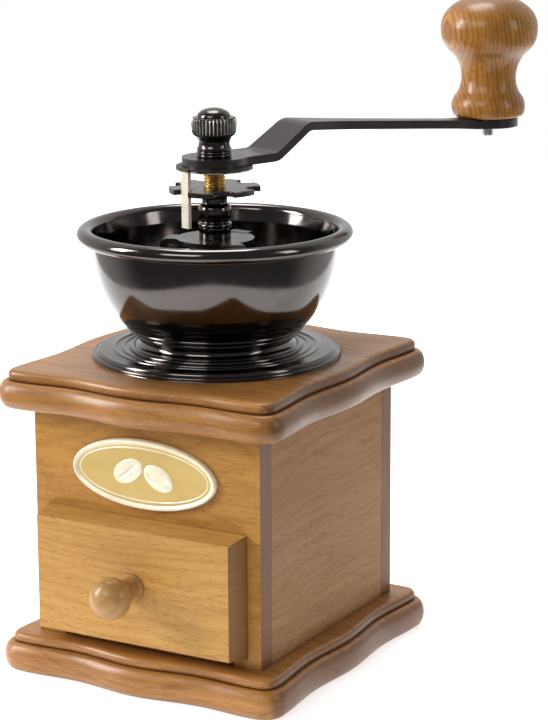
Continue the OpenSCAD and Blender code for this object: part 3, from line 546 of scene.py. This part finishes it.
def plate(name, over, z0, h, tier_h, material, node, holes=()):
    """A plate with a half-round lower tier, a groove and a small rounded step, as mesh rings from the underside up.

    A ring is (inset, height, share of painted shade, full in the groove and a little at the bottom edge). A hole is
    (x, y, lower radius, upper radius, from, to).
    """
    span = math.sin(math.radians(75))
    rings = [(TIER_DEPTH * (1 - math.cos(math.radians(a))),
              tier_h * (1 + math.sin(math.radians(a)) / span) / 2, 0.0) for a in range(-75, 76, 10)]
    rings[0] = (rings[0][0], 0.0, 0.25)
    rings += [(3.9, tier_h + 0.03, 0.7), (4.15, tier_h + 0.1, 1.0), (3.9, tier_h + 0.3, 0.9),
              (STEP_IN, tier_h + 0.55, 0.2)]
    rings += [(STEP_IN + STEP_ROUND * (1 - math.cos(math.radians(a))),
               h - STEP_ROUND * (1 - math.sin(math.radians(a))), 0.0) for a in range(0, 91, 10)]
    rings += [(6.6, h, 0.0)]
    bm = bmesh.new()
    layer = bm.verts.layers.float.new("groove")
    loops = []
    for inset, z, shade in rings:
        ring = []
        hx, hy = CASE_W / 2 + over - inset, CASE_D / 2 + over + FRONT_EXTRA - inset
        for x, y in plate_outline(hx, hy, PLATE_CORNER - inset):
            vertex = bm.verts.new((x, y, z0 + z))
            vertex[layer] = shade
            ring.append(vertex)
        loops.append(ring)
    n = len(loops[0])
    for a, b in zip(loops, loops[1:]):
        for k in range(n):
            m = (k + 1) % n
            bm.faces.new((a[k], a[m], b[m], b[k]))
    bm.faces.new(loops[0][::-1])
    bm.faces.new(loops[-1])
    bm.normal_update()
    bm.transform(Matrix.Scale(MM, 4))
    mesh = bpy.data.meshes.new(name)
    bm.to_mesh(mesh)
    bm.free()
    finish_mesh(mesh, 40)
    piece = add(name, mesh, material, "case", [node])
    for x, y, r0, r1, z0, z1 in holes:
        cutter_mesh = lathe("cutter", [(0, z0), (r0, z0), (r1, z1), (0, z1)], 48, centre=(x, y))
        cutter = bpy.data.objects.new("cutter", cutter_mesh)
        bpy.context.scene.collection.objects.link(cutter)
        cut = piece.modifiers.new("hole", "BOOLEAN")
        cut.object = cutter
        cut.solver = "EXACT"
        with bpy.context.temp_override(object=piece, active_object=piece):
            bpy.ops.object.modifier_apply(modifier=cut.name)
        bpy.data.objects.remove(cutter)


screw_places = [(sx * 43.5, sy * 30.0) for sx in (-1, 1) for sy in (-1, 1)]
plate("moulded_base", 12.3, 0.0, BASE_H, 10.6, stained_base, "base_plate",
      [(x, y, 4.3, 4.1, -1.0, 3.2) for x, y in screw_places])
plate("moulded_top", 11.8, WALL_TOP, DECK - WALL_TOP, 9.9, stained_top, "top_plate",
      [(0, 0, 18.7, 18.7, WALL_TOP - 1, DECK + 1)])

for node, material, width in (
        ("front_panel", panel_front, 0.45), ("back_panel", panel_back, 0.45),
        ("left_side_panel", panel_left, 0.35), ("right_side_panel", panel_right, 0.35),
        ("left_drawer_guide", raw_y, 0.4), ("right_drawer_guide", raw_y, 0.4),
        ("top_dowels", raw_z, 0.3), ("drawer_front", drawer_face, 1.5), ("drawer_inner_front", raw_x, 0.5),
        ("drawer_left_side", raw_y, 0.5), ("drawer_right_side", raw_y, 0.5), ("drawer_back", raw_x, 0.5),
        ("drawer_bottom", drawer_floor, 0.3), ("base_screws", zinc, 0.12), ("spider_bolts", zinc, 0.2),
        ("spider_nuts", zinc, 0.2), ("lower_bridge", cast_iron, 0.4), ("lower_bridge_screws", zinc, 0.15),
        ("burr_nut", zinc, 0.2), ("bearing_spider", gunmetal, 0.22), ("adjusting_disc", gunmetal, 0.28),
        ("lock_washer", bright_nickel, 0.2), ("knob_screw", zinc, 0.15), ("drawer_knob_screw", zinc, 0.15),
        ("drawer_front_screws", zinc, 0.15)):
    refined(node, width, material)
for node, material in (("burr_housing", cast_iron), ("outer_burr", cast_iron), ("inner_burr", cast_iron),
                       ("burr_spring", spring_steel)):
    paint(node, material)

# ------------------------------------------------------------------ badge

BADGE_Z, BADGE_HALF_W, BADGE_HALF_H = 80.5, 30.2, 12.95
FIELD = 1.22  # how far the badge's field stands out from the front panel

t = Tree("badge_gold")
place = t.place()
stipple = t.noise(t.scaled(place, (3.2, 3.2, 3.2)), 3.0, 0.7)
cloud = t.noise(t.scaled(place, (0.05, 0.05, 0.09)), 3.0)
gold = t.mix(t.ramp(cloud, [(0.3, 0.0), (0.75, 1.0)]), (0.740, 0.540, 0.190), (0.620, 0.410, 0.115))
gold = t.mix(t.math("MULTIPLY", stipple, 0.22), gold, (0.74, 0.56, 0.26))
# Painted shade: the gold darkens in corners, next to the rim, the bead and the beans.
gold = t.mix(t.ramp(t.shade_in_corners(1.2), [(0.3, 0.0), (0.9, 1.0)]), (0.36, 0.20, 0.06), gold)
t.surface(Base_Color=gold, Metallic=0.35, Roughness=t.math("MULTIPLY_ADD", stipple, 0.16, 0.30),
          Normal=t.bump(stipple, 0.15, 0.05), Coat_Weight=0.3, Coat_Roughness=0.12)
badge_gold = t.material

t = Tree("badge_cream")
place = t.place()
age = t.noise(t.scaled(place, (0.25, 0.25, 0.25)), 4.0, 0.6)
cream = t.mix(t.ramp(age, [(0.35, 0.0), (0.8, 1.0)]), (0.930, 0.880, 0.700), (0.850, 0.750, 0.500))
# Painted shade: the cream darkens in corners.
cream = t.mix(t.ramp(t.shade_in_corners(0.8), [(0.3, 0.0), (0.9, 1.0)]), (0.50, 0.34, 0.14), cream)
t.surface(Base_Color=cream, Metallic=0.1, Roughness=t.math("MULTIPLY_ADD", age, 0.15, 0.24),
          Normal=t.bump(age, 0.1, 0.1), Coat_Weight=0.5, Coat_Roughness=0.1)
badge_cream = t.material


def badge():
    """Oval plate: a domed field, a rolled rim, a fine bead inside it, and two coffee beans in relief."""
    bm = bmesh.new()
    steps = 160
    # inset, height, and 1 for the cream rim and bead or 0 for the gold
    profile = [(0.0, 0.0, 0), (0.0, 1.0, 1)]
    profile += [(0.15 + 0.55 * (1 - math.cos(t)), 1.0 + 0.8 * math.sin(t), 1) for t in (0.4, 0.8, 1.2, 1.57)]
    profile += [(1.05, 1.76, 1), (1.4, 1.6, 1), (1.8, 1.36, 1), (2.0, 1.2, 1), (2.1, 1.16, 0), (2.9, 1.17, 0),
                (3.05, 1.30, 1), (3.2, 1.34, 1), (3.35, 1.30, 1), (3.5, 1.17, 0), (5.0, 1.2, 0), (9.0, 1.24, 0)]
    loops = []
    for inset, height, _ in profile:
        ring = [bm.verts.new(((BADGE_HALF_W - inset) * math.cos(2 * math.pi * k / steps), -CASE_D / 2 - height,
                              BADGE_Z + (BADGE_HALF_H - inset) * math.sin(2 * math.pi * k / steps)))
                for k in range(steps)]
        loops.append(ring)
    for i, (low, high) in enumerate(zip(loops, loops[1:])):
        for k in range(steps):
            n = (k + 1) % steps
            polygon = bm.faces.new((low[k], low[n], high[n], high[k]))
            polygon.material_index = 1 if profile[i][2] or profile[i + 1][2] else 0
    bm.faces.new(loops[-1])
    bm.faces.new(loops[0][::-1])
    bmesh.ops.recalc_face_normals(bm, faces=bm.faces)
    bm.transform(Matrix.Scale(MM, 4))
    mesh = bpy.data.meshes.new("badge_plate")
    bm.to_mesh(mesh)
    bm.free()
    finish_mesh(mesh, 38)
    add("badge_plate", mesh, badge_gold, "case", ["badge"])
    mesh.materials.append(badge_cream)


def bean(name, x, z, tilt, long, wide, rise):
    """A coffee bean in low relief: an oval dome with a curved crease along it."""
    bm = bmesh.new()
    rings, segments = 22, 64
    rows = []
    for i in range(rings + 1):
        s = i / rings
        row = []
        for k in range(segments):
            angle = 2 * math.pi * k / segments
            px, pz = long * s * math.cos(angle), wide * s * math.sin(angle)
            dome = rise * math.sqrt(max(0.0, 1 - s ** 2.6))
            crease = abs(pz - 0.16 * wide * math.sin(math.pi * px / long))
            ends = max(0.0, 1 - (abs(px) / (long * 0.93)) ** 6)
            dome *= 1 - 0.96 * ends * math.exp(-(crease / 0.62) ** 2)
            ct, st = math.cos(tilt), math.sin(tilt)
            row.append(bm.verts.new((x + px * ct - pz * st, -CASE_D / 2 - FIELD - dome,
                                     BADGE_Z + z + px * st + pz * ct)))
            if i == 0:
                break
        rows.append(row)
    for k in range(segments):
        n = (k + 1) % segments
        bm.faces.new((rows[0][0], rows[1][k], rows[1][n]))
        for low, high in zip(rows[1:], rows[2:]):
            bm.faces.new((low[k], high[k], high[n], low[n]))
    bmesh.ops.recalc_face_normals(bm, faces=bm.faces)
    bm.transform(Matrix.Scale(MM, 4))
    mesh = bpy.data.meshes.new(name)
    bm.to_mesh(mesh)
    bm.free()
    finish_mesh(mesh, 60)
    add(name, mesh, badge_cream, "case", None)


badge()
bean("badge_bean_left", -6.4, 0.6, math.radians(28), 6.6, 4.3, 0.62)
bean("badge_bean_right", 6.4, -0.6, math.radians(-28), 6.6, 4.3, 0.62)

# ------------------------------------------------------------------ hopper and mill


BOWL_R, BOWL_Z, BOWL_WIDE, BOWL_DEEP = 14.8, 158, 30.4, 40
SEAT_R, SEAT_Z = 26.0, 118.83


def wall(inset, z0, z1, n):
    """The bowl's side, a quarter of an ellipse about (BOWL_R, BOWL_Z), set in by the given amount."""
    return [(BOWL_R + (BOWL_WIDE - inset) * math.sqrt(1 - ((BOWL_Z - z) / (BOWL_DEEP - inset)) ** 2), z)
            for z in (z0 + (z1 - z0) * i / n for i in range(n + 1))]


foot = [(SEAT_R, SEAT_Z), (SEAT_R, DECK + 0.02), (46.0, DECK + 0.02)]
foot += arc(45.4, DECK + 0.9, 0.7, 0.7, -60, 84, 12)
foot += [(44.9, DECK + 1.35)] + arc(43.1, DECK + 1.5, 1.2, 1.4, 0, 90, 14)
for r in (37.8, 34.6):
    foot += arc(r, DECK + 2.9, 0.6, 0.55, 0, 180, 12)
foot += arc(31.4, DECK + 3.3, 1.0, 0.9, -20, 170, 14)
foot += [(29.8, SEAT_Z)]
foot = [foot[0]] + eased(foot[1:], 0.2, 2)
add("turned_foot_ring", lathe("turned_foot_ring", foot, 256, closed=True, angle=40), black_nickel_fine, "case",
    ["hopper_foot"])
neck = arc(30.7, DECK + 6.4, 2.6, 2.2, 250, 130, 18)
neck += arc(30.2, DECK + 9.2, 1.0, 0.9, -80, 70, 14)
neck += arc(32.0, DECK + 11.2, 1.3, 0.9, -70, 60, 14)
bowl = [(16.8, 117.8), (SEAT_R, 117.8), (SEAT_R, SEAT_Z + 0.02)] + neck
bowl += wall(0, 126.5, 157.5, 44)
bowl += arc(47.9, 160.4, 3.0, 2.7, -110, 180, 44)
bowl += wall(1.5, 157.0, 123.1, 40)
bowl += eased([(26.6, 121.2), (26.2, 119.8), (24, 119.8)], 0.6, 4)
bowl += [(17.2, 119.8), (16.8, 119.5)]
add("turned_hopper", lathe("turned_hopper", bowl, 256, closed=True, angle=40), black_nickel, "case",
    ["hopper_bowl"])

z = 158.4
bush = [(4.05, 156.4), (5.1, 156.4), (5.1, z - 0.05)]
bush += [(5.9, z), (5.9, z + 4.0)] + arc(5.5, z + 4.9, 0.8, 0.9, -70, 70, 12) + [(5.3, z + 6.2)]
bush += arc(4.6, z + 8.6, 1.5, 2.0, -60, 0, 10) + arc(4.6, z + 10.4, 1.5, 2.4, 0, 80, 12)
bush += [(4.7, z + 13.2), (4.8, 174.2), (5.2, 174.6), (5.2, 175.38), (4.05, 175.38)]
bush = [bush[0]] + eased(bush[1:-1], 0.15, 3) + [bush[-1]]
add("turned_bush", lathe("turned_bush", bush, 96, closed=True), black_nickel, "case", ["spindle_bush"])

SPINDLE_R, PITCH_MM, THREAD_DEPTH, THREAD_Z0, THREAD_Z1 = 4.0, 1.25, 0.62, 169.6, 183.6


def thread(angle, r, height):
    """A right-handed ridge that winds up the spindle and dies out at both ends."""
    if not THREAD_Z0 < height < THREAD_Z1 or r < 3.9:
        return r
    turn_share = (height / PITCH_MM - angle / (2 * math.pi)) % 1.0
    ridge = min(1.0, max(0.0, 1.35 - 2.7 * abs(turn_share - 0.5)))
    ridge = ridge * ridge * (3 - 2 * ridge)
    fade = min(1.0, (height - THREAD_Z0) / 0.6, (THREAD_Z1 - height) / 0.4)
    return r - THREAD_DEPTH * (1 - ridge) * fade


shaft = [(0, 63.5), (3.6, 63.5), (SPINDLE_R, 63.9), (SPINDLE_R, 107.9), (6.7, 107.95), (6.8, 108.1), (6.8, 109.9),
         (6.7, 110.05), (SPINDLE_R, 110.1)]
shaft += [(SPINDLE_R, 112 + 6 * i) for i in range(10)]
shaft += [(SPINDLE_R, THREAD_Z0 + (THREAD_Z1 - THREAD_Z0) * i / 150) for i in range(151)]
shaft += [(SPINDLE_R, 183.7), (2.7, 183.72), (2.75, 188.0), (2.75, 202.2), (2.5, 202.5), (0, 202.5)]
add("threaded_spindle", lathe("threaded_spindle", shaft, 72, relief=thread, angle=60), brass, "spindle_set",
    ["spindle"])

HUB_TOP = 188.52
NUT_Z = HUB_TOP + 0.02
FLUTES, FLUTE_DEPTH = 36, 0.62
nut = [(0, NUT_Z), (6.2, NUT_Z)]
for height in (0.6, 1.7):
    nut += arc(6.0, NUT_Z + height, 0.4, 0.5, -80, 80, 10)
nut += [(6.0, NUT_Z + 2.3)] + arc(10.2, NUT_Z + 4.8, 4.5, 3.6, 215, 150, 16)
nut += [(6.62, NUT_Z + 7.35), (7.2, NUT_Z + 7.7), (7.75, NUT_Z + 8.2)]
nut += spline([(8.0, NUT_Z + 8.6), (8.2, NUT_Z + 9.4), (8.3, NUT_Z + 11.2), (8.25, NUT_Z + 13.0),
               (8.05, NUT_Z + 13.9), (7.7, NUT_Z + 14.3)], 5)
nut += [(7.1, NUT_Z + 14.42), (6.6, NUT_Z + 14.4), (6.4, NUT_Z + 14.5)]
nut += arc(0, NUT_Z + 14.5, 6.15, 3.3, 0, 90, 20)


def flutes(angle, r, height):
    """Rounded grooves round the nut's grip."""
    if r < 6.9:
        return r
    fade = min(1.0, max(0.0, (height - NUT_Z - 7.4) / 1.0), max(0.0, (NUT_Z + 14.5 - height) / 0.5))
    groove = (0.5 - 0.5 * math.cos(FLUTES * angle)) ** 0.8
    return min(r, r - FLUTE_DEPTH * groove * fade)


add("fluted_cap_nut", lathe("fluted_cap_nut", nut, 12 * FLUTES, relief=flutes, angle=50), cap_nickel,
    "spindle_set", ["cap_nut"])

# ------------------------------------------------------------------ crank

CRANK_ANGLE, CRANK_R, STRAP = math.radians(CRANK_TURN), 138.0, 3.2
RAMP0, RAMP1, RISE, PAD_R, HUB_R = 22.6, 38.6, 9.9, 11.9, 12.0
PAD_EDGE = CRANK_R - 11.0
ARM_DROP = 5.2
BEND_R, PAD_BEND_R = 5.0, 40.0
PAD_TOP = HUB_TOP + RISE - (PAD_EDGE - RAMP1) * math.tan(math.radians(ARM_DROP))


def rounded_path(points, radii, steps=9):
    """A line through the points with an arc-like bend of its own radius at each inner one."""
    out = [points[0]]
    for i, radius in enumerate(radii):
        b, h, a = (Vector(points[i + j]) for j in range(3))
        u, v = (b - h).normalized(), (a - h).normalized()
        half = math.acos(max(-1, min(1, u.dot(v)))) / 2
        reach = radius / math.tan(half)
        for k in range(steps + 1):
            t = k / steps
            out.append(tuple((h + u * reach) * (1 - t) ** 2 + h * 2 * t * (1 - t) + (h + v * reach) * t ** 2))
    return out + [points[-1]]


top_line = [(-13.0, HUB_TOP), (RAMP0, HUB_TOP), (RAMP1, HUB_TOP + RISE), (PAD_EDGE, PAD_TOP),
            (CRANK_R + 13, PAD_TOP)]
slopes = [0, math.atan2(RISE, RAMP1 - RAMP0), -math.radians(ARM_DROP), 0]
low_line = [(top_line[0][0], HUB_TOP - STRAP)]
for (x, h), a, b in zip(top_line[1:4], slopes, slopes[1:]):
    reach = STRAP / math.cos((a - b) / 2)
    low_line.append((x + reach * math.sin((a + b) / 2), h - reach * math.cos((a + b) / 2)))
low_line.append((top_line[4][0], PAD_TOP - STRAP))
top_path = rounded_path(top_line, (BEND_R, BEND_R + STRAP, PAD_BEND_R))
low_path = rounded_path(low_line, (BEND_R + STRAP, BEND_R, PAD_BEND_R))


def height_at(path, x):
    for (x0, h0), (x1, h1) in zip(path, path[1:]):
        if x <= x1:
            return h0 + (h1 - h0) * (x - x0) / max(1e-9, x1 - x0)
    return path[-1][1]


strap_widths = spline([(-2, 10.5), (8, 9.6), (22, 9.0), (38, 8.0), (56, 5.6), (80, 4.5), (105, 4.1), (119, 4.6),
                       (131, 8.4)], 8)


def half_width(x):
    w = 0.0
    if abs(x) < HUB_R:
        w = math.sqrt(HUB_R ** 2 - x * x)
    if abs(x - CRANK_R) < PAD_R:
        w = max(w, math.sqrt(PAD_R ** 2 - (x - CRANK_R) ** 2))
    for (x0, w0), (x1, w1) in zip(strap_widths, strap_widths[1:]):
        if x0 <= x <= x1:
            w = max(w, w0 + (w1 - w0) * (x - x0) / (x1 - x0))
    return w


stations = [-HUB_R * math.cos(math.radians(a)) for a in range(2, 91, 4)]
stations += [x for x, _ in top_path if 0 < x < CRANK_R]
stations += [x for x, _ in low_path if 0 < x < CRANK_R]
stations += [1.5 * i for i in range(1, 92)]
stations += [CRANK_R + PAD_R * math.sin(math.radians(a)) for a in range(-88, 89, 4)]
stations = sorted(s for s in stations if s <= CRANK_R + PAD_R * math.sin(math.radians(88)))
stations = [s for i, s in enumerate(stations) if i == 0 or s - stations[i - 1] > 0.03]
bm = bmesh.new()
columns = []
for x in stations:
    w = half_width(x)
    hi, lo = height_at(top_path, x), height_at(low_path, x)
    shares = (-1.0, -0.6, -0.2, 0.2, 0.6, 1.0)
    columns.append([bm.verts.new((x, w * s, hi)) for s in shares]
                   + [bm.verts.new((x, w * s, lo)) for s in shares[::-1]])
for a, b in zip(columns, columns[1:]):
    for k in range(12):
        n = (k + 1) % 12
        bm.faces.new((a[k], b[k], b[n], a[n]))
bm.faces.new(columns[0])
bm.faces.new(columns[-1][::-1])
bmesh.ops.recalc_face_normals(bm, faces=bm.faces)
bm.transform(Matrix.Scale(MM, 4) @ Matrix.Rotation(CRANK_ANGLE, 4, "Z"))
mesh = bpy.data.meshes.new("crank_strap")
bm.to_mesh(mesh)
bm.free()
finish_mesh(mesh, 40)
arm = add("crank_strap", mesh, gunmetal_arm, "spindle_set", ["crank_arm"])
round_edges(arm, 0.45, 50)

# ------------------------------------------------------------------ knobs

knob_at = (CRANK_R * math.cos(CRANK_ANGLE), CRANK_R * math.sin(CRANK_ANGLE))
z = PAD_TOP + 0.3
side = [(11.8, 0), (13.8, 0.8), (14.55, 2.8), (14.5, 5.6), (13.6, 8), (11.9, 10.6), (10.95, 14), (10.9, 17),
        (11.7, 20.8), (13.6, 24.2), (16.5, 27.2), (18.5, 30.4), (19.2, 34.4), (18.9, 38), (17.2, 41.6), (14, 44.6),
        (10.6, 46.4), (7.7, 47)]
knob = [(2.3, z), (11.2, z)] + [(r, z + h) for r, h in spline(side, 6)]
knob += [(4.9, z + 47), (4.55, z + 46.8), (4.5, z + 46.4), (4.5, z + 42.5), (2.3, z + 42.5)]
add("turned_crank_knob", lathe("turned_crank_knob", knob, 160, centre=knob_at, closed=True, angle=45), knob_wood,
    "knob", ["crank_knob"])

# the riveted end of the knob's screw, which the photo shows below the pad
rivet = lathe("screw_end", [(0, -4.3), (1.5, -4.3), (1.95, -3.9), (2.05, -3.5), (2.05, -1.45), (0, -1.45)], 40,
              placed=Matrix.Translation((*knob_at, PAD_TOP - STRAP)))
add("screw_end", rivet, zinc, "spindle_set", None)

DRAWER_GAP, DRAWER_FRONT, DRAWER_KNOB_Z = 0.2, 10.3, 41
face_y = -(CASE_D / 2 + DRAWER_GAP + DRAWER_FRONT)
small = [(2.1, 0), (5.1, 0), (5.3, 0.25)]
small += spline([(5.3, 0.5), (4.6, 1.8), (4.3, 4), (4.6, 6.2), (5.6, 8.1)], 6)
small += arc(0, 13.6, 7.7, 7.24, -43, 90, 40)
small_mesh = lathe("turned_drawer_knob", small, 128, angle=45,
                   placed=Matrix.Translation((0, face_y, DRAWER_KNOB_Z)) @ Matrix.Rotation(math.pi / 2, 4, "X"))
add("turned_drawer_knob", small_mesh, small_knob_wood, "drawer", ["drawer_knob"])

# ------------------------------------------------------------------ studio

TO_CAMERA_SIDE = (0.49, -0.87)  # level direction from the mill to the side the photo is taken from
FLOOR_R, FLOOR_SHARES, FLOOR_BACK = 1000, (0.38, 0.86), 560

# An oval of paper that ends in front of the mill, so the hopper mirrors a bright sheet and a darker room. The paper
# glows as painted light, strongest behind the mill and weaker towards the camera's side.
t = Tree("studio_floor")
toward = t.vector("DOT_PRODUCT", t.place(), (*TO_CAMERA_SIDE, 0), out="Value")
glow = t.ramp(t.math("MULTIPLY_ADD", toward, 0.001, 0.5), [(0.0, 1.0), (0.3, 0.95), (0.52, 0.65), (0.75, 0.60)])
paper = t.noise(t.scaled(t.place(), (0.2, 0.2, 0.2)), 3.0)
t.surface(Base_Color=(0.86, 0.86, 0.86), Roughness=t.math("MULTIPLY_ADD", paper, 0.1, 0.6), Specular_IOR_Level=0.2,
          Emission_Color=(1.0, 1.0, 1.0), Emission_Strength=glow)
table = (Matrix.Rotation(AZIMUTH, 4, "Z") @ Matrix.Translation((0, FLOOR_BACK, 0))
         @ Matrix.Diagonal((*FLOOR_SHARES, 1, 1)))
floor = lathe("floor", [(0, -0.2), (FLOOR_R, -0.2)], 160, placed=table)
stage = bpy.data.objects.new("floor", floor)
bpy.context.scene.collection.objects.link(stage)
floor.materials.append(t.material)


def softbox(name, place, aim, size, power):
    light = bpy.data.lights.new(name, "AREA")
    light.shape = "RECTANGLE"
    light.size, light.size_y = size
    light.energy = power
    lamp = bpy.data.objects.new(name, light)
    bpy.context.scene.collection.objects.link(lamp)
    lamp.location = place
    lamp.rotation_mode = "QUATERNION"
    lamp.rotation_quaternion = (Vector(aim) - Vector(place)).to_track_quat("-Z", "Y")


softbox("key_left", (-1.25, -0.85, 0.75), (0, 0, 0.12), (0.4, 0.9), 24)
softbox("fill_right", (1.3, 0.1, 0.6), (0, 0, 0.14), (0.3, 0.8), 3)
softbox("top", (-0.25, 0.35, 1.2), (0, 0, 0.1), (0.5, 0.5), 7)
softbox("front", (0.0, -1.5, 1.1), (0, 0, 0.1), (0.9, 0.6), 8)

# White where the camera sees it. As light and in reflections, pale behind the mill and dark on the camera's side.
world = bpy.data.worlds.new("studio")
bpy.context.scene.world = world
world.use_nodes = True
nodes, links = world.node_tree.nodes, world.node_tree.links
background = nodes["Background"]
direction = nodes.new("ShaderNodeTexCoord")
along = nodes.new("ShaderNodeVectorMath")
along.operation = "DOT_PRODUCT"
links.new(direction.outputs["Generated"], along.inputs[0])
along.inputs[1].default_value = (*TO_CAMERA_SIDE, 0.15)
room = nodes.new("ShaderNodeValToRGB")
room.color_ramp.interpolation = "EASE"
for element, (position, value) in zip(room.color_ramp.elements, ((0.25, 0.80), (0.60, 0.14))):
    element.position = position
    element.color = (value, value, value, 1)
shift = nodes.new("ShaderNodeMath")
shift.operation = "MULTIPLY_ADD"
links.new(along.outputs["Value"], shift.inputs[0])
shift.inputs[1].default_value = 0.5
shift.inputs[2].default_value = 0.5
links.new(shift.outputs[0], room.inputs["Fac"])
path = nodes.new("ShaderNodeLightPath")
seen = nodes.new("ShaderNodeMix")
seen.data_type = "RGBA"
links.new(path.outputs["Is Camera Ray"], seen.inputs["Factor"])
links.new(room.outputs["Color"], seen.inputs[6])
seen.inputs[7].default_value = (1.0, 1.0, 1.0, 1)
links.new(seen.outputs[2], background.inputs["Color"])
background.inputs["Strength"].default_value = 1.0
